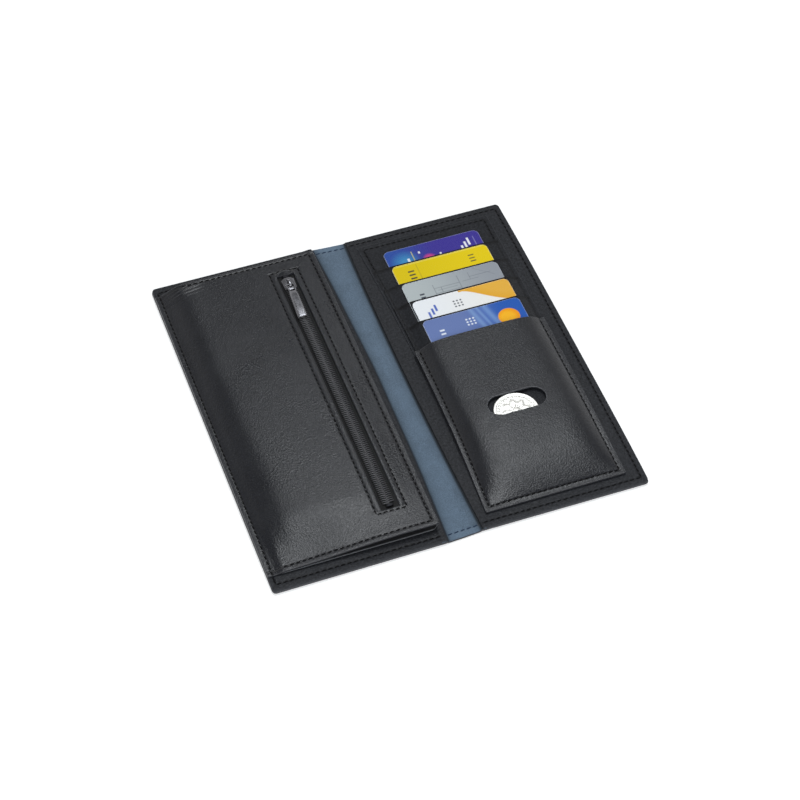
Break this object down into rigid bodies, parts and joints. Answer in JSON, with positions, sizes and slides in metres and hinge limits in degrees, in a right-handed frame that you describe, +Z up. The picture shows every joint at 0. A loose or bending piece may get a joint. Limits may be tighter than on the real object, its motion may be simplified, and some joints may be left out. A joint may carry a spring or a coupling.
{
  "type": "travel wallet",
  "caption": "Long leather travel wallet lying open: a zip pouch page on one cover, stepped card slots with a front pocket and a finger cutout on the other.",
  "frame": {"origin": "middle of the underside of the open wallet, on the line halfway between the two fold creases", "axes": "+X from the zip pouch cover to the card cover, +Y along the spine towards the card ends, +Z up from the table, out of the inside faces"},
  "size_m": [0.196, 0.207, 0.0122],
  "materials": {
    "outer_leather": "fine grain, satin",
    "inner_leather": "fine grain, satin",
    "pocket_leather": "thin fine-grain leather, satin",
    "pouch_lining": "thin smooth leather, matt",
    "stiffener_board": "grey-brown pressed board, matt",
    "blue_lining": "soft nubuck-like leather, matt",
    "black_thread": "waxed polyester thread",
    "blue_thread": "waxed polyester thread",
    "zip_tape": "woven polyester",
    "zip_coil": "moulded nylon coil",
    "dark_nickel": "polished dark nickel plate",
    "card_1_plastic": "printed card, gloss",
    "card_2_plastic": "printed card, gloss",
    "card_3_plastic": "printed card, gloss",
    "card_4_plastic": "printed card, gloss",
    "card_5_plastic": "printed card, gloss",
    "coin_metal": "struck white metal, worn polish"
  },
  "bodies": {
    "right_cover": {"outer_cover_right": "outer_leather", "stiffener_board_right": "stiffener_board", "inner_panel_right": "inner_leather", "card_pocket_backing": "pocket_leather", "slot_gusset_left": "pocket_leather", "slot_gusset_right": "pocket_leather", "card_slot_leaf_1": "pocket_leather", "card_slot_leaf_2": "pocket_leather", "card_slot_leaf_3": "pocket_leather", "card_slot_leaf_4": "pocket_leather", "coin_pocket_leaf": "pocket_leather", "slot_floor_seam_1": "pocket_leather", "slot_floor_seam_2": "pocket_leather", "slot_floor_seam_3": "pocket_leather", "slot_floor_seam_4": "pocket_leather", "slot_floor_seam_5": "pocket_leather", "front_pocket_panel": "inner_leather", "cover_seam_right": "black_thread", "card_pocket_seam": "black_thread"},
    "spine": {"outer_cover_spine": "outer_leather", "spine_lining": "blue_lining", "spine_seam": "blue_thread"},
    "left_cover": {"outer_cover_left": "outer_leather", "stiffener_board_left": "stiffener_board", "inner_panel_left": "inner_leather", "page_seam_strip": "inner_leather", "cover_seam_left": "black_thread"},
    "zip_pouch": {"slip_pocket_sheet": "pouch_lining", "pouch_back": "pouch_lining", "pouch_front": "inner_leather", "pouch_seam": "black_thread", "zip_window_seam": "black_thread", "zip_tape_left": "zip_tape", "zip_tape_right": "zip_tape", "zip_coil_left": "zip_coil", "zip_coil_right": "zip_coil", "zip_top_stop": "dark_nickel", "zip_bottom_stop": "dark_nickel"},
    "zip_slider": {"zip_slider_body": "dark_nickel", "zip_slider_bridge": "dark_nickel"},
    "pull_tab": {"zip_pull_tab": "dark_nickel"},
    "card_1": {"card_1": "card_1_plastic"},
    "card_2": {"card_2": "card_2_plastic"},
    "card_3": {"card_3": "card_3_plastic"},
    "card_4": {"card_4": "card_4_plastic"},
    "card_5": {"card_5": "card_5_plastic"},
    "coin": {"coin": "coin_metal"}
  },
  "joints": [
    {"name": "spine_fold", "type": "hinge", "parent": "right_cover", "child": "spine", "pos_m": [0.0086, 0, 0.0017], "axis": [0, -1, 0], "range_deg": [-90, 0]},
    {"name": "cover_fold", "type": "hinge", "parent": "spine", "child": "left_cover", "pos_m": [-0.0086, 0, 0.0017], "axis": [0, -1, 0], "range_deg": [-90, 0]},
    {"name": "pouch_lift", "type": "hinge", "parent": "left_cover", "child": "zip_pouch", "pos_m": [-0.092, 0, 0.0033], "axis": [0, -1, 0], "range_deg": [0, 80]},
    {"name": "zip_slide", "type": "slide", "parent": "zip_pouch", "child": "zip_slider", "axis": [0, -1, 0], "range_m": [0, 0.15]},
    {"name": "pull_tab_swing", "type": "hinge", "parent": "zip_slider", "child": "pull_tab", "pos_m": [-0.0297, 0.0763, 0.0107], "axis": [-1, 0, 0], "range_deg": [0, 170]},
    {"name": "card_1_slide", "type": "slide", "parent": "right_cover", "child": "card_1", "axis": [0, 1, 0], "range_m": [0, 0.074]},
    {"name": "card_2_slide", "type": "slide", "parent": "right_cover", "child": "card_2", "axis": [0, 1, 0], "range_m": [0, 0.074]},
    {"name": "card_3_slide", "type": "slide", "parent": "right_cover", "child": "card_3", "axis": [0, 1, 0], "range_m": [0, 0.074]},
    {"name": "card_4_slide", "type": "slide", "parent": "right_cover", "child": "card_4", "axis": [0, 1, 0], "range_m": [0, 0.074]},
    {"name": "card_5_slide", "type": "slide", "parent": "right_cover", "child": "card_5", "axis": [0, 1, 0], "range_m": [0, 0.074]},
    {"name": "coin_slide", "type": "slide", "parent": "right_cover", "child": "coin", "axis": [0, 1, 0], "range_m": [0, 0.07]}
  ]
}
